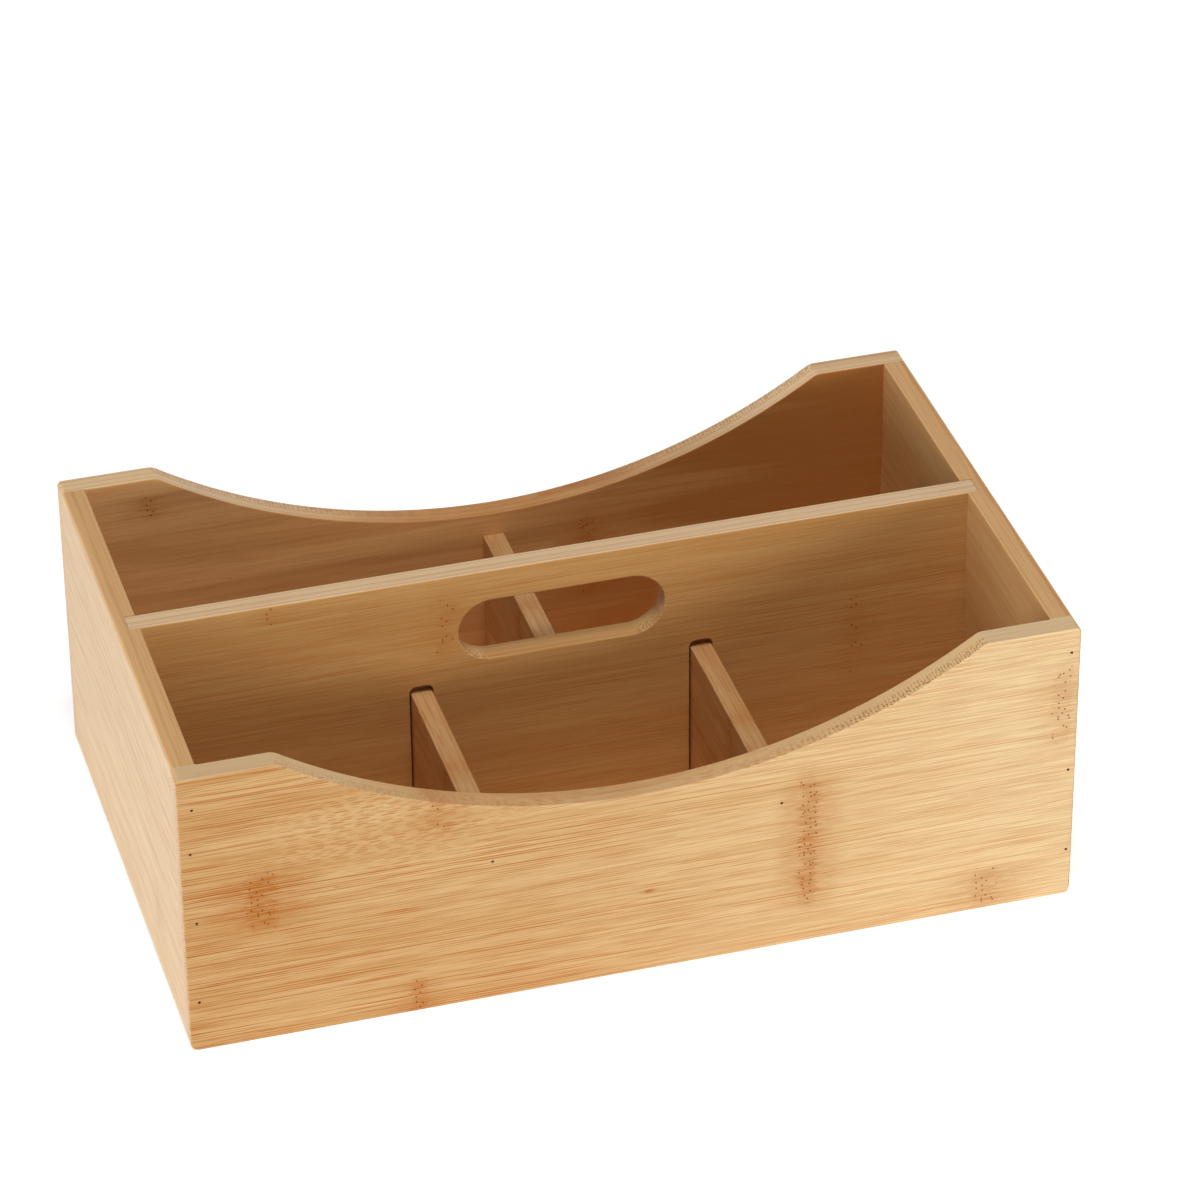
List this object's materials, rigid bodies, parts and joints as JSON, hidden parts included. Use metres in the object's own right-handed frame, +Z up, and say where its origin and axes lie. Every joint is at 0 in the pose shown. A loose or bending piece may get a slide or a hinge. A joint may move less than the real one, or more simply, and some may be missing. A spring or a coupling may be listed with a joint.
{
  "type": "bamboo compartment organizer",
  "caption": "Open bamboo tote with scooped front and rear panels, a centre divider with a rounded handle slot, and lower partitions that split it into compartments.",
  "frame": {"origin": "middle of the footprint, on the surface that the organizer stands on", "axes": "+X along the long side towards the right end panel, +Y from the front panel to the rear panel, +Z up"},
  "size_m": [0.32, 0.197, 0.113],
  "materials": {
    "bamboo_face": "satin lacquer over honey bamboo with fine fibres along the board",
    "bamboo_side": "satin lacquer over paler pinkish bamboo with fine fibres along the board",
    "bamboo_inner": "satin lacquer over honey bamboo, laminated edges showing as thin darker lines",
    "nail_steel": "dull dark brad heads, set just below the surface"
  },
  "bodies": {
    "root": {"front_panel": "bamboo_face", "rear_panel": "bamboo_face", "left_end_panel": "bamboo_side", "right_end_panel": "bamboo_side", "base_board": "bamboo_inner", "centre_divider": "bamboo_inner", "front_left_partition": "bamboo_inner", "front_right_partition": "bamboo_inner", "rear_partition": "bamboo_inner", "front_left_nail_1": "nail_steel", "front_left_nail_2": "nail_steel", "front_left_nail_3": "nail_steel", "front_left_nail_4": "nail_steel", "front_right_nail_1": "nail_steel", "front_right_nail_2": "nail_steel", "front_right_nail_3": "nail_steel", "rear_left_nail_1": "nail_steel", "rear_left_nail_2": "nail_steel", "rear_left_nail_3": "nail_steel", "rear_right_nail_1": "nail_steel", "rear_right_nail_2": "nail_steel", "rear_right_nail_3": "nail_steel", "front_left_partition_nail": "nail_steel", "front_right_partition_nail": "nail_steel", "rear_partition_nail": "nail_steel"}
  },
  "joints": []
}
